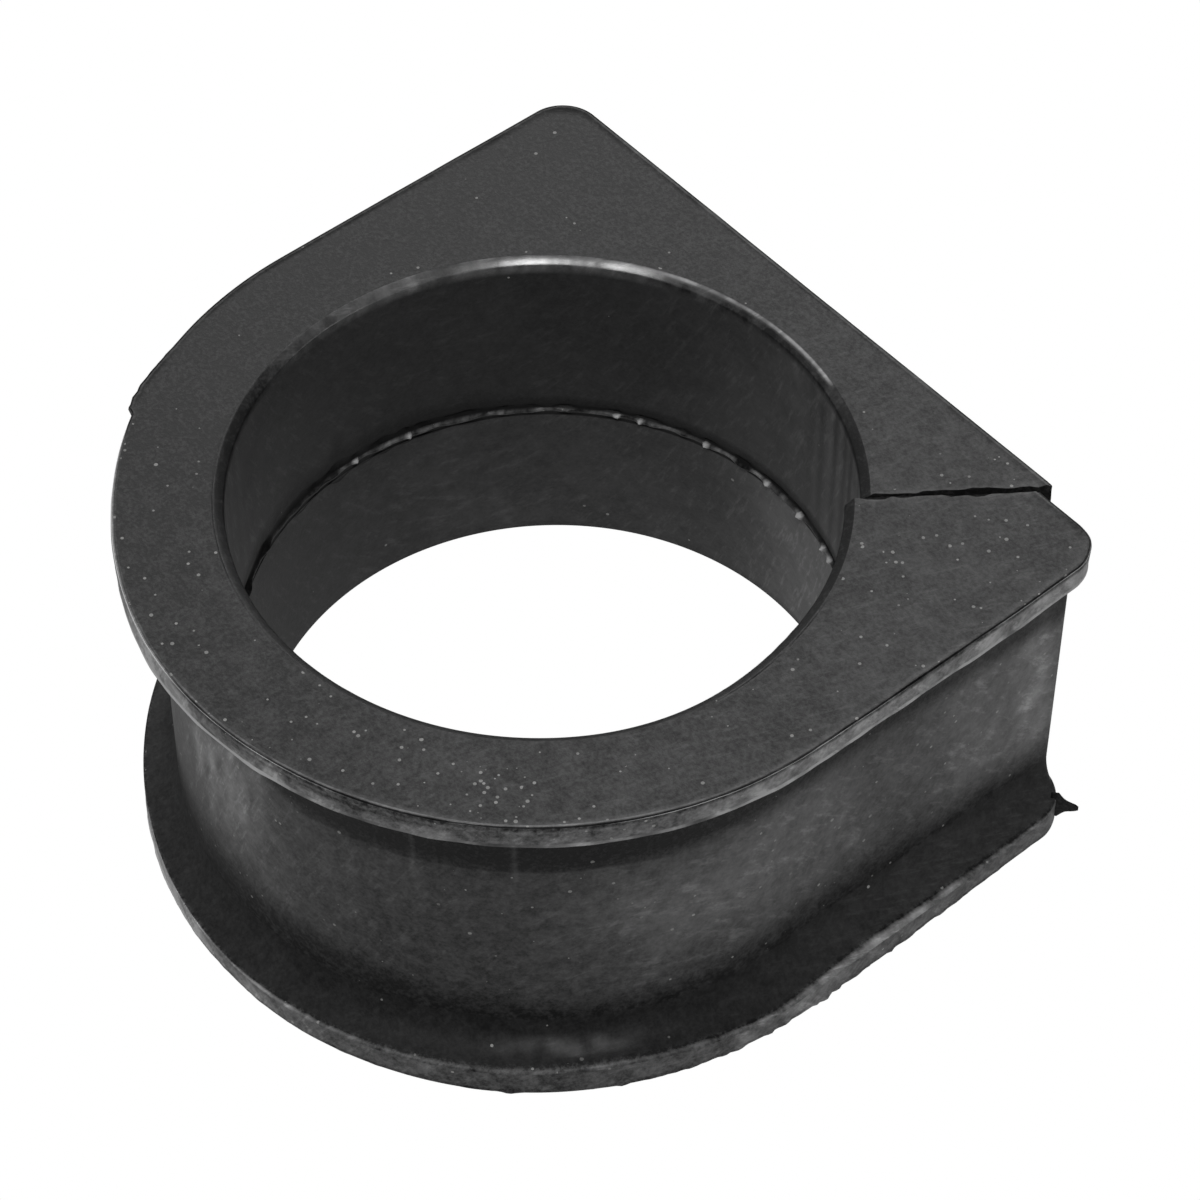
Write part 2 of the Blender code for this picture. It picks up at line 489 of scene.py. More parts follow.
    def slanting(self, share: float, seed: float) -> np.ndarray:
        """Slanting scuffs that run across a rim.

        Args:
            share: How far down the rim.
            seed: Number that sets this rim apart from the other.

        Returns:
            What the rim's bloom is multiplied by.
        """
        slant = self.turn + 0.05 * share
        wide = ring_noise(slant, 1.1 * MM, seed + 0.4 * share)
        fine = ring_noise(slant, 0.45 * MM, seed + 3.0 + 0.8 * share)
        return np.clip(1.0 + 0.55 * wide + 0.45 * fine, 0.3, 2.0)

    def lower_rim(self) -> np.ndarray:
        """Bloom of the lower rim, nearly none where the rim turns away at the left.

        Returns:
            What the rim's bloom is multiplied by.
        """
        angle = self.angle
        bare = smooth((angle - 206.0) / 8.0) * smooth((262.0 - angle) / 20.0)
        scuffs = 1.0 + 0.4 * self.noise(2.4, 18.1)
        shares = self.lower_shares.at(angle)
        return shares * (1.0 - 0.95 * bare) * scuffs

    def bore_upper(self) -> np.ndarray:
        """Bloom of the bore above the parting line.

        Returns:
            What the upper bore's bloom is multiplied by.
        """
        angle = self.off(300.0)
        drag = 1.0 + 0.8 * self.noise(1.3, 26.0) * smooth((np.abs(angle) - 60.0) / 20.0)
        return (1.0 + 2.3 * smooth((np.abs(angle) - 25.0) / 60.0)) * drag

    def bore_lower(self) -> np.ndarray:
        """Bloom of the bore below the parting line, thicker towards the slit."""
        return 0.95 + 4.6 * hump(self.off(30.0), 0.0, 50.0)

    def ridge(self) -> np.ndarray:
        """Bloom of the ridge at the parting line: broken pale stretches, and dark at the far left
        as painted shade.

        Returns:
            What the ridge's bloom is multiplied by.
        """
        angle = self.off(310.0)
        broken = np.clip(0.5 + 1.6 * self.noise(3.0, 33.0), 0.05, 1.8)
        broken *= np.clip(0.8 + 1.2 * self.noise(0.9, 34.0), 0.1, 1.8)
        return broken * (1.0 - 0.9 * smooth((-angle - 42.0) / 12.0))

    def witness(self) -> np.ndarray:
        """Where the fine line beside the upper mouth shows.

        Returns:
            A share from 0 to 1.
        """
        broken = np.clip(0.75 + 0.9 * self.noise(5.0, 3.1), 0.0, 1.0)
        both = self.near(Place.LEFT_WITNESS) + self.near(Place.RIGHT_WITNESS)
        return broken * np.clip(both, 0.0, 1.0)

    def mouth_wear_and_highlight(self) -> np.ndarray:
        """Bloom of the upper mouth: pale at the far side, partly from wear and partly as a painted
        highlight where the key light glints, and bare beside the slit.

        Returns:
            What the mouth's bloom is multiplied by.
        """
        angle = self.off(312.0)
        scuffs = np.clip(1.0 + 0.8 * self.noise(1.5, 37.0), 0.2, 2.0)
        return 3.2 * smooth(1.0 - (np.abs(angle) - 26.0) / 50.0) * scuffs

    def mouth_gloss(self) -> np.ndarray:
        """Gloss of the upper bore mouth, which is rubbed only at the far side.

        Returns:
            The gloss at each station, from 0 to 1.
        """
        angle = self.off(313.0)
        rubbed = 0.45 + 0.3 * self.noise(3.0, 39.0) + 0.3 * self.noise(0.9, 40.0)
        rubbed += 0.7 * hump(angle, -6.0, 6.5) + 0.9 * hump(angle, 14.5, 6.5)
        rubbed -= 0.2 * hump(angle, 4.5, 5.0)
        return np.clip(rubbed, 0.0, 1.0) * smooth(1.0 - (np.abs(angle) - 40.0) / 35.0)

    def mouth_highlight_line(self) -> np.ndarray:
        """Painted highlight: a fine pale line along the top of the mouth, which ends short of the
        slit.

        Returns:
            A share from 0 to 1.
        """
        angle = self.off(0.0)
        broken = np.clip(0.8 + 0.7 * self.noise(1.5, 37.5), 0.2, 1.0)
        return smooth((angle + 42.0) / 14.0) * smooth((15.0 - angle) / 2.0) * broken


@dataclass
class MouldedRing:
    """The whole moulding: a grooved ring with a flat seat, two end flanges and a two-core bore."""

    length: float
    half_width: float
    seat: float
    bore_y: float
    bore_radius: float = 25.0 * MM
    nose_offset: float = 0.4 * MM
    nose_draft: float = 0.4 * MM
    upper_flange: float = 2.3 * MM
    lower_flange: float = 2.8 * MM
    flange_corner: float = 3.4 * MM
    flange_edge: float = 0.25 * MM
    flange_draft: float = 0.1 * MM
    groove_depth: float = 3.1 * MM
    band_height: float = 24.2 * MM
    web_corner: float = 0.7 * MM
    upper_fillet: float = 1.3 * MM
    lower_fillet: float = 2.6 * MM
    bore_edge: float = 0.62 * MM
    mouth_profile: tuple[tuple[float, float], ...] = (
        (0.0, 1.0), (0.03, 0.88), (0.09, 0.78), (0.18, 0.70), (0.33, 0.585), (0.52, 0.445),
        (0.72, 0.305), (0.90, 0.19), (1.08, 0.09), (1.24, 0.0),
    )
    foot_edge: float = 0.15 * MM
    mouth_pinch: float = 0.3 * MM
    parting_height: float = 16.3 * MM
    ridge_proud: float = 0.38 * MM
    ridge_half: float = 0.80 * MM
    core_lean: Vector = field(default_factory=lambda: Vector((-0.4 * MM, 1.3 * MM)))
    witness_radius: float = 25.92 * MM
    witness_depth: float = 0.05 * MM
    edge_line_inset: float = 0.17 * MM
    edge_line_depth: float = 0.14 * MM
    spread: Course = Course((
        (50, 0.0), (58, 0.3), (66, 0.36), (80, 0.38), (96, 0.18), (136, 0.32),
        (150, 0.27), (164, 0.25), (178, 0.30), (192, 0.3), (215, 0.0),
    ))
    foot_spread: Course = Course((
        (50, 0.0), (60, 0.28), (68, 0.46), (76, 0.58), (86, 0.42), (96, 0.18), (108, 0.2),
        (122, 0.25), (136, 0.3), (150, 0.16), (164, 0.1), (178, -0.08), (205, -0.22), (233, 0.0),
    ))
    foot_sunk: Course = Course((
        (46, 0.0), (54, 0.6), (60, 0.7), (68, 0.65), (76, 0.35), (86, 0.7), (96, 1.0),
        (108, 0.2), (118, -0.1), (150, 0.3), (164, 0.5), (178, 0.95), (200, 0.9), (225, 0.0),
    ))
    rim_wave: float = 0.06 * MM
    rim_flash: float = 0.10 * MM
    foot_flash: float = 0.17 * MM
    beads: tuple[float, ...] = (324.2, 328.9, 343.2, 358.9, 8.9, 17.7, 20.8, 282.0, 269.7)
    bead_half: float = 0.9
    ridge_shade_spread: float = 0.45 * MM
    stations: int = 610
    fine_stations: int = 7200
    corner_crowding: float = 2.2
    corner_reach: float = math.radians(7.0)
    slit_reach: float = math.radians(40.0)
    torn_reach: float = math.radians(0.9)
    sharp_angle: float = math.radians(50.0)
    seat_end: float = 44.5
    seat_fade: float = 3.0
    slit: Slit = field(init=False)
    turn: np.ndarray = field(init=False)
    around: Stations = field(init=False)
    bloom: Bloom = field(init=False)

    def __post_init__(self) -> None:
        """Place the slit and the stations round the ring, closer together at the corners."""
        self.slit = Slit(self.seat, self.bore_radius)
        start = self.slit.outer_angle()
        fine = np.linspace(start, start + FULL_TURN, self.fine_stations)
        corner = math.atan2(self.half_width, self.seat)
        density = 1.0 + self.corner_crowding * hump(fine, corner, self.corner_reach)
        density += self.corner_crowding * hump(fine, FULL_TURN - corner, self.corner_reach)
        run = np.concatenate(([0.0], np.cumsum((density[1:] + density[:-1]) / 2.0)))
        self.turn = np.interp(np.linspace(0.0, run[-1], self.stations), run, fine)
        self.around = Stations(self.turn)
        self.bloom = Bloom(self.turn)

    def outline(
        self,
        height: float,
        inset: float,
        seat_inset: float = 0.0,
        proud: np.ndarray | float = 0.0,
        drop: np.ndarray | float = 0.0,
    ) -> Points:
        """One level of the outside.

        Args:
            height: Height above the lower end face.
            inset: How far the nose and sides stand in from the flanges.
            seat_inset: How far the seat stands in.
            proud: What stands out from the outline at each station.
            drop: What hangs below the height at each station.

        Returns:
            The row of places.
        """
        half = self.half_width - inset
        seat = self.seat - seat_inset
        corner = self.flange_corner
        corner += (self.web_corner - self.flange_corner) * inset / self.groove_depth
        nose_y = -self.nose_offset - self.nose_draft * (1.0 - height / self.length)
        side, ahead = np.abs(np.sin(self.turn)), np.cos(self.turn)
        angle = np.arctan2(side, ahead)
        middle = (half - corner, seat - corner)
        facing = side * middle[0] + ahead * middle[1]
        round_corner = facing + np.sqrt(
            np.maximum(facing**2 - middle[0] ** 2 - middle[1] ** 2 + corner**2, 0.0)
        )
        reach = np.select(
            [
                angle < math.atan2(half - corner, seat),
                angle < math.atan2(half, seat - corner),
                angle < math.atan2(half, nose_y),
            ],
            [
                seat / np.maximum(ahead, 0.1),
                round_corner,
                half / np.maximum(side, 0.1),
            ],
            nose_y * ahead + np.sqrt(half**2 - (nose_y * side) ** 2),
        )
        return self.ray(self.turn, reach + proud, height - drop)

    def ray(self, turn: np.ndarray, reach: np.ndarray, height: np.ndarray | float) -> Points:
        """Put points at angles and distances from the bore's axis.

        Args:
            turn: Angles round the axis.
            reach: Distances from it.
            height: Height above the lower end face.

        Returns:
            The row of places.
        """
        heights = np.broadcast_to(height, turn.shape)
        return np.stack([np.sin(turn) * reach, np.cos(turn) * reach, heights], axis=-1)

    def circle(self, radius: np.ndarray | float, height: np.ndarray | float) -> Points:
        """One level of the bore.

        Args:
            radius: Radius of the bore there, one value or one for each station.
            height: Height above the lower end face.

        Returns:
            The row of places.
        """
        below = max(0.0, 1.0 - float(np.mean(height)) / self.parting_height)
        centre = self.core_lean * below
        start = self.slit.outer_angle()
        shear = self.slit.bore_angle(float(np.mean(radius)), centre) - start
        near = smooth(1.0 - (self.turn - start) / self.slit_reach)
        near += smooth(1.0 - (start + FULL_TURN - self.turn) / self.slit_reach)
        row = self.ray(self.turn + shear * near, np.broadcast_to(radius, self.turn.shape), height)
        return row + np.array((centre.x, centre.y, 0.0))

    def edge_growth(self) -> np.ndarray:
        """How far the upper flange has spread, with the torn flash at one side.

        Returns:
            The growth at each station.
        """
        angle = self.around.angle
        growth = 0.08 + 0.12 * self.around.near(Place.LEFT_EDGE)
        torn = smooth((angle - 233.5) / 1.2) * smooth((249.0 - angle) / 12.0)
        jag = 1.0 + 0.5 * self.around.noise(1.0, 44.0)
        corner = 0.12 * self.around.near(Place.CORNER_SCRAP)
        return (growth + 0.5 * torn * jag + corner) * MM + self.around.along(self.spread)

    def top_face(self) -> list[Level]:
        """The upper bore mouth, the fine witness line beside it and the upper end face.

        Returns:
            Levels from the bore out to the rim's edge.
        """
        levels = []
        pinch = self.mouth_pinch * self.around.near(Place.PINCHED_MOUTH)
        gloss = self.bloom.mouth_gloss()
        line = self.bloom.mouth_highlight_line()
        wear_and_highlight = self.bloom.mouth_wear_and_highlight()
        worn = 1.0 + 0.5 * hump((np.degrees(self.turn) + 90.0) % 360.0, 140.0, 60.0)
        for out, down in self.mouth_profile:
            low = float(smooth((down - 0.12) / 0.25))
            # The mouth is pale partly from wear and partly as a painted highlight, with a painted
            # highlight line along its top.
            pale = wear_and_highlight * (1.0 - low * line) + 9.0 * line * (1.0 - low) * (down > 0.0)
            shine = gloss * float(smooth(down / 0.12)) * (1.0 - 0.8 * low * line)
            nibble = 0.03 * MM * self.around.noise(1.0, 50.0 + down) * (down > 0.8)
            radius = self.bore_radius + self.bore_edge * out - pinch + nibble
            height = self.length - self.bore_edge * down
            row = self.circle(radius, height)
            levels.append(level(row, Tone.MOUTH, pale, worn, gloss=shine))
        shown = self.bloom.witness()
        depth = self.witness_depth * shown
        for offset, share in ((-0.14, 0.0), (-0.06, -0.35), (0.0, 1.0), (0.06, 1.0), (0.15, 0.0)):
            radius = self.witness_radius + offset * MM - pinch
            row = self.circle(radius, self.length - depth * share)
            dark = 1.0 - 0.95 * shown * (share > 0.5)
            light = 1.0 + 1.2 * shown * (share < 0.0)
            levels.append(level(row, Tone.TOP_FACE, self.bloom.top(row) * dark * light))
        inner = self.circle(self.witness_radius + 0.2 * MM - pinch, self.length)
        start = self.slit.outer_angle()
        ends = (start, start + FULL_TURN)
        torn = sum(hump(self.turn, end, self.torn_reach) for end in ends)
        edge = self.edge_line_inset + 0.24 * MM
        outer = self.outline(self.length, edge, edge, self.edge_growth())
        for share in np.linspace(0.0, 1.0, 22):
            row = inner + (outer - inner) * share
            light = self.bloom.top(row) * (1.0 + 0.8 * torn * (share < 0.98))
            levels.append(level(row, Tone.TOP_FACE, light, dust=self.bloom.dust(row) + 5.0 * torn))
        return levels

    def upper_rim(self) -> list[Level]:
        """The fine line at the upper edge, dark as painted shade, the upper flange's rim with
        painted shade on its upper bend, and the flash on its lower edge, pale partly as a painted
        highlight.

        Returns:
            Levels from the end face down to the flange's inner face.
        """
        growth, front = self.edge_growth(), self.around.along(self.spread)
        wave = self.rim_wave * self.around.noise(9.0, 7.7)
        wave += 0.3 * self.rim_wave * self.around.noise(1.6, 2.4)
        line = self.edge_line_depth * np.clip(0.8 + self.around.noise(3.0, 5.2), 0.0, 1.0)
        bloom = self.bloom.upper_rim()
        angle = self.around.angle
        uneven = 1.0 + 0.8 * self.around.noise(1.6, 73.0)
        crest = 0.3 + 1.5 * self.around.near(Place.FRONT_CREST) * uneven
        gone = smooth((angle - 180.0) / 9.0) * smooth((232.0 - angle) / 8.0)
        near = self.around.near
        shallow = near(Place.LEFT_SHALLOW) + 0.6 * near(Place.CORNER_SHALLOW)
        faded = 0.4 + 60.0 * gone + 12.0 * near(Place.FADED_LINE) + 7.0 * shallow
        line = line * (1.0 - 0.9 * gone) * (1.0 - 0.55 * shallow)
        lift = 0.15 * MM * near(Place.THIN_RIM)
        levels = []
        # The groove at the upper edge is near-black as painted shade, paler where it is shallow or
        # gone.
        for inset, sunk, tone in (
            (0.20, -0.2, Tone.EDGE_CREST),
            (0.05, -0.1, Tone.EDGE_CREST),
            (0.015, 1.0, Tone.SHADED_EDGE_LINE),
            (-0.08, 1.0, Tone.SHADED_EDGE_LINE),
            (-0.12, 0.2, Tone.UPPER_RIM),
        ):
            in_from_rim = self.edge_line_inset + inset * MM
            row = self.outline(self.length, in_from_rim, in_from_rim, growth, line * sunk)
            levels.append(level(row, tone, crest if tone is Tone.EDGE_CREST else faded))
        # The rim's upper bend is kept dark as painted shade, where it faces up into the light.
        for share in (0.6, 1.0):
            sine, cosine = quarter(share)
            inset = self.flange_edge * 0.7 * (1.0 - sine)
            height = self.length - self.flange_edge * (1.0 - cosine)
            row = self.outline(height, inset, inset, growth + wave)
            levels.append(level(row, Tone.UPPER_RIM, (0.4 + 0.6 * gone) * share * bloom))
        face = self.length - self.upper_flange
        for share in np.linspace(0.12, 0.8, 6):
            drop = (face - self.length + self.flange_edge) * share
            height = self.length - self.flange_edge + drop
            proud = front + (growth - front) * (1.0 - share) + wave
            row = self.outline(height, 0.0, 0.0, proud, -lift * share)
            scuffs = self.bloom.slanting(share, 80.0)
            dip = 1.0 - 0.8 * float(hump(np.array(share), 0.28, 0.22)) * near(Place.RIM_DIP)
            slope = 1.0 + 0.6 * (share - 0.5) * near(Place.RIM_SLOPE)
            levels.append(level(row, Tone.UPPER_RIM, bloom * scuffs * dip * slope))
        flash = self.rim_flash * np.clip(0.4 + self.around.noise(2.2, 9.4), 0.0, 1.3)
        # The lower edge is pale partly as a painted highlight, strongest at the left.
        edge = np.clip(0.8 + 0.9 * self.around.noise(2.0, 91.0), 0.15, 1.6)
        edge += (0.9 - edge) * 0.8 * near(Place.EVEN_EDGE)
        edge *= 1.1 + 5.0 * near(Place.PAINTED_HIGHLIGHT_EDGE) - 0.4 * near(Place.DULL_EDGE)
        shine = 0.7 * near(Place.GLOSSY_EDGE)
        for height, inset, share in (
            (0.30, 0.0, 0.2),
            (0.14, 0.0, 1.0),
            (0.03, 0.0, 1.15),
            (-0.02, 0.08, 0.6),
        ):
            proud = front + wave + flash * share
            row = self.outline(face + height * MM, inset * MM, 0.0, proud, -lift)
            levels.append(level(row, Tone.RIM_EDGE_AND_HIGHLIGHT, bloom * edge, gloss=shine))
        return levels

    def groove(self) -> list[Level]:
        """The upper flange's inner face, the web with its two fillets and the lower flange's face.

        Returns:
            Levels from the upper flange down to the lower one.
        """
        levels = []
        face = self.length - self.upper_flange
        run = self.groove_depth - self.upper_fillet
        # The inner face and the upper fillet under the upper flange carry painted shade.
        for share in (0.15, 0.5, 0.9):
            inset = self.flange_edge + run * share * 0.85
            row = self.outline(face - self.flange_draft * share, inset)
            levels.append(level(row, Tone.SHADED_UNDERSIDE))
        for share in np.linspace(0.0, 1.0, 7):
            sine, cosine = quarter(share)
            inset = run + self.upper_fillet * sine
            height = face - self.flange_draft - self.upper_fillet * (1.0 - cosine)
            levels.append(level(self.outline(height, inset), Tone.SHADED_UNDERSIDE))
        top = face - self.flange_draft - self.upper_fillet
        foot = self.lower_flange + self.flange_draft
        band = self.band_height
        above = np.linspace(top, band + 0.3 * MM, 6)[1:]
        heights = np.concatenate((above, np.linspace(band, foot + self.lower_fillet, 24)))
        # Rows gather at the edge of the painted shadow band so that it stays crisp.
        edge = self.bloom.shadow_band_edge()
        rise = np.clip(edge, band - 2.2 * MM, band + 0.3 * MM) - band
        for height in heights:
            drop = -rise * hump(height, band, 3.6 * MM)
            wave = 0.05 * MM * self.around.noise(12.0, 40.0 * height)
            row = self.outline(float(height), self.groove_depth, 0.0, wave, drop)
            levels.append(level(row, Tone.WEB, self.bloom.web(height - drop)))
        sunk = self.around.along(self.foot_sunk)
        for share in np.linspace(0.0, 1.0, 11)[1:]:
            sine, cosine = quarter(share)
            inset = self.groove_depth - self.lower_fillet * (1.0 - cosine)
            height = foot + self.lower_fillet * (1.0 - sine)
            row = self.outline(height, inset, 0.0, 0.0, sunk * share**3)
            smear = self.bloom.fillet(share)
            levels.append(level(row, Tone.LOWER_FILLET, smear / Tone.LOWER_FILLET.value[0]))
        return levels

    def lower_rim(self) -> list[Level]:
        """The lower flange's rim with a painted highlight on its upper bend, and the ragged flash
        round its foot, pale at the left partly as a painted highlight.

        Returns:
            Levels from the flange's inner face down to the lower end face.
        """
        near = self.around.near
        wave = self.rim_wave * self.around.noise(8.0, 15.3) + self.around.along(self.foot_spread)
        bloom = self.bloom.lower_rim()
        broken = np.clip(1.0 + 0.9 * self.around.noise(1.4, 95.0), 0.3, 1.8)
        levels = []
        drop = self.around.along(self.foot_sunk) / self.lower_flange
        # The lower rim's upper bend is paler at the right as a painted highlight.
        lit = 1.0 + 1.2 * near(Place.LIT_BEND)
        for share, pale in ((0.0, 0.05), (0.5, 1.0), (1.0, 0.85)):
            sine, cosine = quarter(share)
            inset = self.flange_edge * (1.0 - sine)
            height = self.lower_flange - self.flange_edge * (1.0 - cosine)
            row = self.outline(height, inset, 0.0, wave * share, drop * height)
            levels.append(level(row, Tone.LOWER_RIM, pale * lit * bloom * broken))
        for share in (0.02, *np.linspace(0.14, 0.88, 6)):
            height = (self.lower_flange - self.flange_edge) * (1.0 - share) + 0.3 * MM * share
            scuffs = self.bloom.slanting(share, 84.0)
            row = self.outline(height, 0.0, 0.0, wave, drop * height)
            slope = 1.0 + 0.7 * (share - 0.6) * near(Place.FOOT_SLOPE)
            levels.append(level(row, Tone.LOWER_RIM, bloom * scuffs * slope))
        steps = np.clip(4.0 * self.around.noise(2.6, 21.9), -1.0, 1.0)
        teeth = np.clip(2.2 * self.around.noise(0.75, 4.6) - 0.1, -0.5, 1.0)
        flash = self.foot_flash * (0.4 + 0.35 * steps + 0.5 * teeth)
        flash *= 0.35 + 1.5 * near(Place.RIGHT_FLASH)
        left = near(Place.LEFT_FLASH_AND_HIGHLIGHT)
        flash += 0.14 * MM * (near(Place.NOSE_TOOTH) + near(Place.SMALL_TOOTH) + 0.6 * left)
        # The flash is pale at the left, partly as a painted highlight where the edge catches
        # grazing light.
        for height, share in ((0.30, 0.25), (0.18, 1.0), (0.08, 1.0)):
            row = self.outline(height * MM, 0.0, 0.0, wave + flash * share, drop * height * MM)
            levels.append(level(row, Tone.LOWER_RIM, 0.6 * bloom + 5.0 * left * broken))
        levels.append(level(self.outline(0.0, 0.02 * MM, 0.02 * MM, wave), Tone.LOWER_RIM, 0.4))
        return levels

    def bottom_face(self) -> list[Level]:
        """The lower end face and the lower bore mouth.

        Returns:
            Levels from the rim in to the bore.
        """
        outer = self.outline(0.0, self.flange_edge, self.flange_edge)
        inner = self.circle(self.bore_radius + self.foot_edge + 0.1 * MM, 0.0)
        rows = [outer + (inner - outer) * share for share in np.linspace(0.0, 1.0, 6)]
        for share in np.linspace(0.0, 1.0, 5):
            sine, cosine = quarter(share)
            radius = self.bore_radius + self.foot_edge * (1.0 - sine)
            rows.append(self.circle(radius, self.foot_edge * (1.0 - cosine)))
        return [level(row, Tone.BOTTOM_FACE) for row in rows]

    def bore(self) -> list[Level]:
        """The bore wall, with the ragged ridge where the two cores met and painted shade beside
        it.

        Returns:
            Levels from the lower mouth up to the upper one.
        """
        angle = self.around.angle
        beads = sum(hump(angle, each, self.bead_half) for each in self.beads)
        ridge = np.clip(0.55 + 0.9 * self.around.noise(2.4, 31.0), 0.1, 1.4)
        ridge += 0.5 * np.clip(self.around.noise(0.8, 8.8) - 0.25, 0.0, 1.0) + 0.8 * beads
        drift = 0.25 * MM * self.around.noise(5.0, 17.0)
        # At the far left the painted shade beside the ridge spreads wider.
        smear = np.clip(1.0 + self.around.noise(1.6, 55.0), 0.3, 1.8)
        smear *= self.around.near(Place.FAR_RIDGE_SHADE)
        pale = self.bloom.ridge()
        foot, top = self.parting_height - self.ridge_half, self.parting_height + self.ridge_half
        lower, upper = self.bloom.bore_lower(), self.bloom.bore_upper()
        levels = []
        for share in np.linspace(0.06, 1.0, 9):
            height = self.foot_edge + (foot - self.foot_edge) * share
            levels.append(level(self.circle(self.bore_radius, height), Tone.BORE_LOWER, lower))
        bends = (
            (0.10, 0.0), (0.22, -0.3), (0.32, 0.2), (0.40, 0.85), (0.50, 1.0),
            (0.58, 0.7), (0.66, -0.1), (0.76, -0.5), (0.9, 0.0),
        )
        for share, proud in bends:
            radius = self.bore_radius - self.ridge_proud * proud * ridge
            height = foot + (top - foot) * share + drift * proud
            height += self.ridge_shade_spread * smear * ((share > 0.7) - (share < 0.25) * 1.0)
            tone = Tone.RIDGE if 0.35 < share < 0.6 else Tone.RIDGE_SHADE
            levels.append(level(self.circle(radius, height), tone, pale + 3.0 * beads))
        for share in (0.0, 0.03, 0.06, *np.linspace(0.12, 0.95, 8)):
            height = top + (self.length - self.bore_edge - top) * share
            height = height + self.ridge_shade_spread * smear * (1.0 - share)
            # Just above the ridge the bore has no bloom at first: painted shade.
            near = smooth((share - 0.01) / (0.06 + 0.1 * smear))
            row = self.circle(self.bore_radius, height)
            levels.append(level(row, Tone.BORE_UPPER, upper * near))
        return levels

    def on_seat(self, levels: list[Level]) -> list[Level]:
        """Give the flat seat one tone over its whole height, where there is no groove.

        Args:
            levels: Levels of the outside.

        Returns:
            The same levels with the seat's tone between the corners.
        """
        angle = self.around.off(0.0)
        flat = smooth((self.seat_end - np.abs(angle)) / self.seat_fade)
        seat = level(levels[0].points, Tone.SEAT)
        toned = []
        for each in levels:
            middle = float(np.mean(each.points[:, 2]))
            rubs = 1.0 + 0.35 * self.around.noise(6.0, 200.0 * middle)
            pairs = (
                (each.bloom, seat.bloom * rubs),
                (each.rough, seat.rough),
                (each.grain, seat.grain),
                (each.dust, seat.dust),
            )
            blended = (own + (plain - own) * flat for own, plain in pairs)
            toned.append(Level(each.points, *blended, each.gloss))
        return toned

    def build(self) -> bpy.types.Object:
        """Join all levels to one closed skin and close both faces of the cut.

        Returns:
            The ring, at its place in the row's frame.
        """
        outside = self.upper_rim() + self.groove() + self.lower_rim()
        levels = self.top_face() + self.on_seat(outside) + self.bottom_face() + self.bore()
        points = np.stack([each.points for each in levels])
        points = self.slit.roughen(self.slit.spring(points, self.turn))
        points[..., 1] += self.bore_y
        rows, count = points.shape[:2]
        row, place = np.meshgrid(np.arange(rows), np.arange(count - 1), indexing="ij")
        below = (row + 1) % rows
        first, second = row * count + place, below * count + place
        quads = np.stack([first, second, second + 1, first + 1], axis=-1)
        faces = quads.reshape(-1, 4).tolist()
        faces.append([each * count for each in range(rows)][::-1])
        faces.append([each * count + count - 1 for each in range(rows)])
        mesh = bpy.data.meshes.new("moulded_ring")
        mesh.from_pydata(points.reshape(-1, 3).tolist(), [], faces)
        for name in ("bloom", "rough", "grain", "dust", "gloss"):
            values = [np.broadcast_to(getattr(each, name), (count,)) for each in levels]
            layer = mesh.attributes.new(name, "FLOAT", "POINT")
            layer.data.foreach_set("value", np.stack(values).astype(np.float32).ravel())
        for cut_face in mesh.polygons[-2:]:
            cut_face.material_index = 1
        mesh.shade_smooth()
        mesh.set_sharp_from_angle(angle=self.sharp_angle)
        LOG.info("moulded ring: %d levels, %d stations, %d faces", rows, count, len(faces))
        return stand("moulded_ring", mesh)

    def dress(self, ring: bpy.types.Object, finishes: tuple["RubberFinish", ...]) -> None:
        """Put the rubber on the ring and set it in the place of its CAD solid.

        Args:
            ring: The built ring.
            finishes: Finishes of the moulded skin and of the faces of the slit.
        """
        for finish in finishes:
            ring.data.materials.append(finish.material())
        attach(ring, "root")
        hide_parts(NODE)


@dataclass
class FlashTab:
    """The torn scrap of flash that stands out from the lower flange's corner beside the slit."""

    root: tuple[float, float, float] = (32.2 * MM, 29.6 * MM, 1.85 * MM)
    length: float = 2.4 * MM
    half_height: float = 1.6 * MM
    half_thick: float = 0.15 * MM
    droop: float = 0.37 * MM
    sections: int = 12
    rim: int = 16

    def build(self) -> bpy.types.Object:
        """Loft the scrap from its root to its hooked tip.

        Returns:
            The scrap, at its place in the row's frame.
        """
        out = Vector((1.0, 1.0, 0.0)).normalized()
        across = Vector((1.0, -1.0, 0.0)).normalized()
        points = []
        for step in range(self.sections):
            share = step / (self.sections - 1)
            centre = Vector(self.root) + out * self.length * share
            centre.z -= self.droop * share**2
            flare = 4.0 * (1.0 - share) ** 5 + 0.75 * (1.0 - share) ** 0.6 + 0.25
            height = min(self.half_height, flare * MM)
            thick = self.half_thick * (1.0 - 0.7 * share)
            for turn in range(self.rim):
                angle = FULL_TURN * turn / self.rim
                seed = Vector((3.0 * share, 2.0 * math.sin(angle), angle))
                ragged = 1.0 + 0.22 * noise.noise(seed)
                place = centre + across * thick * math.cos(angle)
                place.z += height * math.sin(angle) * ragged
                points.append(place)
        faces = []
        for step in range(self.sections - 1):
            for turn in range(self.rim):
                beside = (turn + 1) % self.rim
                low, high = step * self.rim, (step + 1) * self.rim
                faces.append((low + turn, low + beside, high + beside, high + turn))
        faces.append(tuple(range(self.rim))[::-1])
        last = (self.sections - 1) * self.rim
        faces.append(tuple(range(last, last + self.rim)))
        mesh = bpy.data.meshes.new("flash_tab")
        mesh.from_pydata(points, [], faces)
        mesh.shade_smooth()
        LOG.info("flash tab: %d faces", len(faces))
        return stand("flash_tab", mesh)

    def dress(self, tab: bpy.types.Object, finish: "RubberFinish") -> None:
        """Put the rubber on the scrap and let it ride with the part.

        Args:
            tab: The built scrap.
            finish: The scrap's finish.
        """
        tab.data.materials.append(finish.material())
        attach(tab, "root")


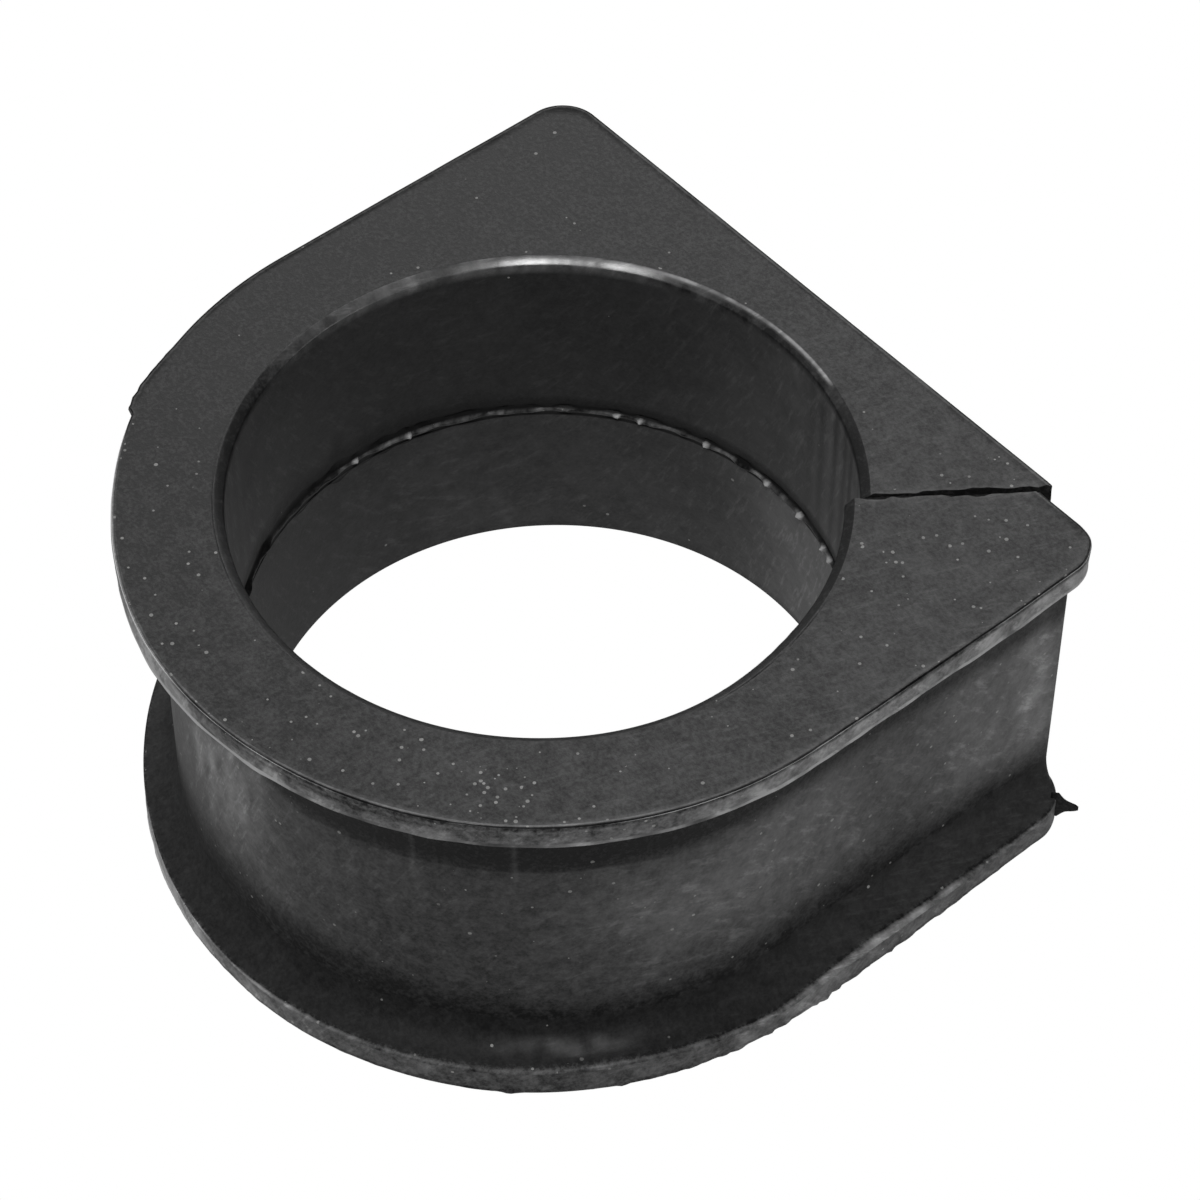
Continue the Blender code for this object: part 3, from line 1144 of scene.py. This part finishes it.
class Wiring:
    """Adds nodes to one node tree and joins them."""

    def __init__(self, tree: bpy.types.NodeTree) -> None:
        """Take a node tree and empty it.

        Args:
            tree: The tree that the nodes go into.
        """
        self.tree = tree
        self.tree.nodes.clear()

    def fill(self, node: bpy.types.Node, inputs: dict[Any, Any]) -> None:
        """Set or join a node's inputs.

        Args:
            node: The node.
            inputs: For each input's name or number, a value or the socket that feeds it.
        """
        for name, value in inputs.items():
            if isinstance(value, Socket):
                self.tree.links.new(value, node.inputs[name])
            else:
                node.inputs[name].default_value = value

    def node(
        self, kind: str, inputs: dict[Any, Any] | None = None, **settings: Any
    ) -> bpy.types.Node:
        """Add a node, set its options and fill or join its inputs.

        Args:
            kind: Blender's name for the type of node.
            inputs: For each input's name or number, a value or the socket that feeds it.
            settings: The node's own options.

        Returns:
            The new node.
        """
        added = self.tree.nodes.new(kind)
        for name, value in settings.items():
            setattr(added, name, value)
        self.fill(added, inputs or {})
        return added

    def effect(self, group: bpy.types.NodeTree, inputs: dict[str, Any]) -> bpy.types.Node:
        """Place an effect's group and fill its inputs."""
        return self.node("ShaderNodeGroup", inputs, node_tree=group)

    def math(self, operation: str, first: Any, second: Any = 0.0, third: Any = 0.0) -> Socket:
        """Add a Math node.

        Args:
            operation: Blender's name for the operation.
            first: Number or socket.
            second: Number or socket.
            third: Number or socket.

        Returns:
            The result's socket.
        """
        inputs = {0: first, 1: second, 2: third}
        return self.node("ShaderNodeMath", inputs, operation=operation).outputs[0]

    def ramp(self, value: Any, low: Any, high: Any, start: Any = 0.0, end: Any = 1.0) -> Socket:
        """Map a value from one range to another, smoothly and held at the ends.

        Args:
            value: Number or socket to map.
            low: Value that gives the start.
            high: Value that gives the end.
            start: Result at the low value.
            end: Result at the high value.

        Returns:
            The result's socket.
        """
        inputs = {0: value, 1: low, 2: high, 3: start, 4: end}
        kind = "ShaderNodeMapRange"
        return self.node(kind, inputs, interpolation_type="SMOOTHSTEP").outputs[0]

    def clouds(self, place: Any, scale: Any, detail: float = 2.0, rough: float = 0.5) -> Socket:
        """Add a noise texture.

        Args:
            place: Socket of the position.
            scale: Lumps per metre.
            detail: Octaves of finer noise.
            rough: Strength of the finer octaves.

        Returns:
            The noise's socket.
        """
        inputs = {"Vector": place, "Scale": scale, "Detail": detail, "Roughness": rough}
        return self.node("ShaderNodeTexNoise", inputs).outputs["Fac"]

    def blend(self, share: Any, first: Any, second: Any) -> Socket:
        """Mix two colours.

        Args:
            share: Share of the second colour.
            first: Colour or socket.
            second: Colour or socket.

        Returns:
            The mixed colour's socket.
        """
        inputs = {0: share, 6: first, 7: second}
        return self.node("ShaderNodeMix", inputs, data_type="RGBA").outputs[2]


@dataclass(frozen=True)
class Effect:
    """A shader node group: its name, its numbers with their usual values and its outputs."""

    name: str
    inputs: dict[str, float]
    outputs: tuple[str, ...]

    def start(self) -> tuple[Wiring, bpy.types.Node, bpy.types.Node]:
        """Make the group's tree with its sockets.

        Returns:
            The wiring, the group's input node and its output node.
        """
        tree = bpy.data.node_groups.new(self.name, "ShaderNodeTree")
        wiring = Wiring(tree)
        tree.interface.new_socket(name="Vector", in_out="INPUT", socket_type="NodeSocketVector")
        for name, value in self.inputs.items():
            socket = tree.interface.new_socket(
                name=name, in_out="INPUT", socket_type="NodeSocketFloat"
            )
            socket.default_value = value
        for name in self.outputs:
            tree.interface.new_socket(name=name, in_out="OUTPUT", socket_type="NodeSocketFloat")
        return wiring, wiring.node("NodeGroupInput"), wiring.node("NodeGroupOutput")


@cache
def grain_group() -> bpy.types.NodeTree:
    """Fine grain of a moulded rubber skin.

    Returns:
        The node group, which puts out a height and a tint.
    """
    effect = Effect("mould_grain", {"Scale": 2500.0}, ("Height", "Tint"))
    wiring, taken, given = effect.start()
    fine = wiring.clouds(taken.outputs["Vector"], taken.outputs["Scale"], 3.0, 0.75)
    broad_scale = wiring.math("MULTIPLY", taken.outputs["Scale"], 0.12)
    broad = wiring.clouds(taken.outputs["Vector"], broad_scale, 2.0)
    height = wiring.math("MULTIPLY_ADD", broad, 0.8, fine)
    wiring.fill(given, {"Height": height, "Tint": wiring.ramp(fine, 0.3, 0.7, -1.0, 1.0)})
    return wiring.tree


@cache
def bloom_group() -> bpy.types.NodeTree:
    """Uneven pale bloom, and the painted light and shade that it carries, on black rubber.

    Returns:
        The node group, which puts out the bloom with its patches and a finer mottle.
    """
    inputs = {"Bloom": 0.5, "Patches": 0.4, "Scale": 120.0}
    effect = Effect("pale_bloom", inputs, ("Mask", "Mottle"))
    wiring, taken, given = effect.start()
    broad = wiring.clouds(taken.outputs["Vector"], taken.outputs["Scale"], 4.0, 0.6)
    fine_scale = wiring.math("MULTIPLY", taken.outputs["Scale"], 6.0)
    fine = wiring.clouds(taken.outputs["Vector"], fine_scale, 3.0, 0.65)
    mixed = wiring.math("MULTIPLY_ADD", fine, 0.45, wiring.math("MULTIPLY", broad, 0.55))
    swing = wiring.ramp(mixed, 0.30, 0.70, -1.0, 1.0)
    factor = wiring.math("MULTIPLY_ADD", swing, taken.outputs["Patches"], 1.0)
    mask = wiring.math("MULTIPLY", taken.outputs["Bloom"], factor)
    wiring.fill(given, {"Mask": mask, "Mottle": wiring.ramp(fine, 0.35, 0.65, -1.0, 1.0)})
    return wiring.tree


@cache
def fleck_group() -> bpy.types.NodeTree:
    """Tiny pale flecks of dust.

    Returns:
        The node group, which puts out the flecks' mask.
    """
    effect = Effect("dust_flecks", {"Scale": 830.0, "Size": 0.13, "Share": 0.4}, ("Mask",))
    wiring, taken, given = effect.start()
    cells = wiring.node(
        "ShaderNodeTexVoronoi",
        {"Vector": taken.outputs["Vector"], "Scale": taken.outputs["Scale"]},
    )
    colour = wiring.node("ShaderNodeSeparateColor", {0: cells.outputs["Color"]})
    size = wiring.math("MULTIPLY", taken.outputs["Size"], colour.outputs[1])
    dot = wiring.math("LESS_THAN", cells.outputs["Distance"], size)
    kept = wiring.math("LESS_THAN", colour.outputs[0], taken.outputs["Share"])
    bright = wiring.math("MULTIPLY_ADD", colour.outputs[2], 0.7, 0.3)
    strength = wiring.math("MULTIPLY", wiring.math("MULTIPLY", dot, kept), bright)
    wiring.fill(given, {"Mask": strength})
    return wiring.tree


@cache
def scuff_group() -> bpy.types.NodeTree:
    """Fine slanting scuffs.

    Returns:
        The node group, which puts out the scuffs' mask.
    """
    effect = Effect("slanting_scuffs", {"Scale": 360.0, "Stretch": 6.0}, ("Mask",))
    wiring, taken, given = effect.start()
    turned = wiring.node(
        "ShaderNodeVectorRotate",
        {"Vector": taken.outputs["Vector"], "Axis": (0.5, -0.4, 0.2), "Angle": 0.8},
    )
    parts = wiring.node("ShaderNodeSeparateXYZ", {0: turned.outputs[0]})
    narrow = wiring.math("MULTIPLY", parts.outputs[0], taken.outputs["Stretch"])
    place = wiring.node(
        "ShaderNodeCombineXYZ", {0: narrow, 1: parts.outputs[1], 2: parts.outputs[2]}
    )
    streaks = wiring.clouds(place.outputs[0], taken.outputs["Scale"], 4.0, 0.7)
    wiring.fill(given, {"Mask": wiring.ramp(streaks, 0.5, 0.72)})
    return wiring.tree


@dataclass(frozen=True)
class RubberFinish:
    """Black moulded rubber with an uneven pale bloom that also carries painted light and shade,
    fine grain, scuffs and dust.
    """

    name: str = "moulded_rubber"
    black: tuple[float, float, float, float] = (0.0045, 0.0045, 0.0047, 1.0)
    pale: tuple[float, float, float, float] = (0.500, 0.500, 0.502, 1.0)
    dust: tuple[float, float, float, float] = (0.42, 0.42, 0.41, 1.0)
    bare: float | None = None
    bare_rough: float = 0.7
    index: float = 1.34
    coat_rough: float = 0.26
    coat_index: float = 1.85
    patches: float = 0.34
    mottle: float = 0.030
    scuffs: float = 0.8
    grain_height: float = 0.06 * MM
    grain_tint: float = 0.060
    fleck_size: float = 0.13
    fine_dust: float = 0.16
    fine_dust_scale: float = 2100.0
    fine_dust_size: float = 0.36
    fine_dust_cover: float = 0.8
    tone_gain: float = 0.5
    rough_mottle: float = 0.03
    bump: float = 0.5

    def material(self) -> bpy.types.Material:
        """Build the material.

        Returns:
            The rubber's material.
        """
        made = bpy.data.materials.new(self.name)
        made.use_nodes = True
        wiring = Wiring(made.node_tree)
        place = wiring.node("ShaderNodeTexCoord").outputs["Object"]
        bloom = self.painted(wiring, "bloom", self.bare)
        rough = self.painted(wiring, "rough", self.bare_rough)
        bloomed = {"Vector": place, "Bloom": bloom, "Patches": self.patches}
        patchy = wiring.effect(bloom_group(), bloomed)
        grain = wiring.effect(grain_group(), {"Vector": place})
        dust = self.painted(wiring, "dust", self.bare)
        dusty = {"Vector": place, "Share": dust, "Size": self.fleck_size}
        flecks = wiring.effect(fleck_group(), dusty)
        share = wiring.math("MULTIPLY", dust, self.fine_dust)
        specks = {"Scale": self.fine_dust_scale, "Size": self.fine_dust_size, "Share": share}
        powder = wiring.effect(fleck_group(), {"Vector": place, **specks})
        scuffs = wiring.effect(scuff_group(), {"Vector": place})
        scuffed = wiring.math("MULTIPLY", scuffs.outputs["Mask"], bloom)
        tone = wiring.math("MULTIPLY_ADD", scuffed, self.scuffs, patchy.outputs["Mask"])
        strength = self.painted(wiring, "grain", 1.0)
        fine = wiring.math("MULTIPLY", grain.outputs["Tint"], self.grain_tint)
        mottle = patchy.outputs["Mottle"]
        fine = wiring.math("MULTIPLY_ADD", mottle, self.mottle, fine)
        tone = wiring.math("MULTIPLY_ADD", fine, strength, tone)
        tone = wiring.math("MULTIPLY", wiring.math("MAXIMUM", tone, 0.0), self.tone_gain)
        colour = wiring.blend(tone, self.black, self.pale)
        colour = wiring.blend(flecks.outputs["Mask"], colour, self.dust)
        faint = wiring.math("MULTIPLY", powder.outputs["Mask"], self.fine_dust_cover)
        colour = wiring.blend(faint, colour, self.dust)
        roughness = wiring.math("MULTIPLY_ADD", mottle, self.rough_mottle, rough)
        relief = {"Strength": self.bump, "Distance": self.grain_height}
        bump = wiring.node("ShaderNodeBump", {**relief, "Height": grain.outputs["Height"]})
        shader = wiring.node(
            "ShaderNodeBsdfPrincipled",
            {
                "Base Color": colour,
                "Roughness": roughness,
                "IOR": self.index,
                "Coat Weight": self.painted(wiring, "gloss", 0.0),
                "Coat Roughness": self.coat_rough,
                "Coat IOR": self.coat_index,
                "Normal": bump.outputs[0],
            },
        )
        wiring.node("ShaderNodeOutputMaterial", {"Surface": shader.outputs[0]})
        return made

    def painted(self, wiring: Wiring, name: str, plain: float | None) -> Socket | float:
        """Read a value that the mesh carries, or take the finish's own one.

        Args:
            wiring: The material's wiring.
            name: The value's name on the mesh.
            plain: The number that holds all over in a bare finish.

        Returns:
            The value's socket, or that number.
        """
        if self.bare is not None:
            return plain
        return wiring.node("ShaderNodeAttribute", attribute_name=name).outputs["Fac"]


def direction(azimuth: float, elevation: float) -> Vector:
    """Direction from the object towards a place round it.

    Args:
        azimuth: Degrees from the front at -Y towards +X.
        elevation: Degrees above the horizon.

    Returns:
        A vector of length 1.
    """
    side, up = math.radians(azimuth), math.radians(elevation)
    flat = math.cos(up)
    return Vector((math.sin(side) * flat, -math.cos(side) * flat, math.sin(up)))


def aim(thing: bpy.types.Object, target: Vector, side: float, up: float, away: float) -> None:
    """Put a lamp or a camera round a target and turn it towards it.

    Args:
        thing: The lamp or the camera.
        target: The place that it faces.
        side: Its azimuth in degrees.
        up: Its elevation in degrees.
        away: Its distance from the target.
    """
    back = direction(side, up)
    thing.location = target + back * away
    thing.rotation_euler = back.to_track_quat("Z", "Y").to_euler()


@dataclass(frozen=True)
class SoftBox:
    """One rectangular studio light that faces the object."""

    name: str
    azimuth: float
    elevation: float
    distance: float
    width: float
    height: float
    watts: float

    def build(self, target: Vector) -> None:
        """Hang the light.

        Args:
            target: The place that it faces.
        """
        lamp = bpy.data.lights.new(self.name, "AREA")
        lamp.shape = "RECTANGLE"
        lamp.size, lamp.size_y = self.width, self.height
        lamp.energy = self.watts
        aim(stand(self.name, lamp), target, self.azimuth, self.elevation, self.distance)


@dataclass(frozen=True)
class Studio:
    """A white floor, plain soft lights and the camera."""

    target: tuple[float, float, float] = (1.709 * MM, 6.295 * MM, 18.380 * MM)
    azimuth: float = 49.73
    elevation: float = 49.24
    distance: float = 339.0 * MM
    lens: float = 124.58
    sensor: float = 36.0
    nearest: float = 0.01
    floor_gap: float = 0.02 * MM
    surround: float = 0.02
    floor_glow: float = 0.42
    floor_reach: float = 3.0
    boxes: tuple[SoftBox, ...] = (
        SoftBox("key_light", 34.0, 64.4, 1.0, 0.52, 0.12, 5.2),
        SoftBox("back_light", 230.0, 49.0, 1.2, 1.2, 0.8, 3.8),
        SoftBox("low_back_light", 230.0, 25.0, 1.2, 1.2, 0.6, 7.0),
        SoftBox("left_light", -40.0, 12.0, 0.9, 0.5, 0.3, 0.6),
        SoftBox("side_light", -70.0, 30.0, 0.9, 0.5, 0.4, 0.8),
        SoftBox("right_light", 120.0, 20.0, 0.9, 0.5, 0.3, 1.0),
    )

    def build(self) -> None:
        """Set up the floor, the surround, the lights and the camera."""
        self.build_floor()
        self.build_surround()
        for box in self.boxes:
            box.build(Vector(self.target))
        self.build_camera()

    def build_floor(self) -> None:
        """Lay the pale floor, which shows white and gives off a dimmer light."""
        reach = self.floor_reach
        sides = ((-1.0, -1.0), (1.0, -1.0), (1.0, 1.0), (-1.0, 1.0))
        corners = [(across * reach, ahead * reach, 0.0) for across, ahead in sides]
        mesh = bpy.data.meshes.new("floor")
        mesh.from_pydata(corners, [], [(0, 1, 2, 3)])
        floor = stand("floor", mesh)
        floor.location.z = -self.floor_gap
        made = bpy.data.materials.new("studio_floor")
        made.use_nodes = True
        kinds = ("ShaderNodeEmission", "ShaderNodeOutputMaterial")
        self.glow(made.node_tree, self.floor_glow, *kinds)
        mesh.materials.append(made)

    def build_surround(self) -> None:
        """Fill the studio with a dim even light behind a white view."""
        world = bpy.data.worlds.new("studio")
        world.use_nodes = True
        kinds = ("ShaderNodeBackground", "ShaderNodeOutputWorld")
        self.glow(world.node_tree, self.surround, *kinds)
        bpy.context.scene.world = world

    def glow(self, tree: bpy.types.NodeTree, dim: float, kind: str, output: str) -> None:
        """Show white to the camera and give off a dimmer light.

        Args:
            tree: The node tree of the floor's material or of the world.
            dim: Strength of the light that it gives off.
            kind: Blender's name for the node that shines.
            output: Blender's name for the tree's output node.
        """
        wiring = Wiring(tree)
        seen = wiring.node("ShaderNodeLightPath").outputs["Is Camera Ray"]
        strength = wiring.math("MAXIMUM", seen, dim)
        white = wiring.node(kind, {"Color": WHITE, "Strength": strength})
        wiring.node(output, {"Surface": white.outputs[0]})

    def build_camera(self) -> None:
        """Put the camera at the photograph's place."""
        camera = bpy.data.cameras.new("camera")
        camera.lens = self.lens
        camera.sensor_width = self.sensor
        camera.clip_start = self.nearest
        eye = stand("camera", camera)
        aim(eye, Vector(self.target), self.azimuth, self.elevation, self.distance)
        bpy.context.scene.camera = eye
        bpy.context.scene.view_settings.view_transform = "Standard"


def main() -> None:
    """Build the part and the studio, and report each piece."""
    logging.basicConfig(level=logging.INFO, format="%(message)s")
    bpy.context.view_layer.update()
    low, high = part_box(NODE)
    maker = MouldedRing(high.z - low.z, high.x, high.y - BORE_Y, BORE_Y)
    ring = maker.build()
    cut = RubberFinish("cut_rubber", bare=0.01, bare_rough=0.8)
    maker.dress(ring, (RubberFinish(), cut))
    scrap = FlashTab()
    scrap.dress(scrap.build(), RubberFinish("flash_rubber", bare=0.03))
    Studio().build()
    LOG.info("studio: floor, surround, lights and camera")


if __name__ == "__main__":
    main()
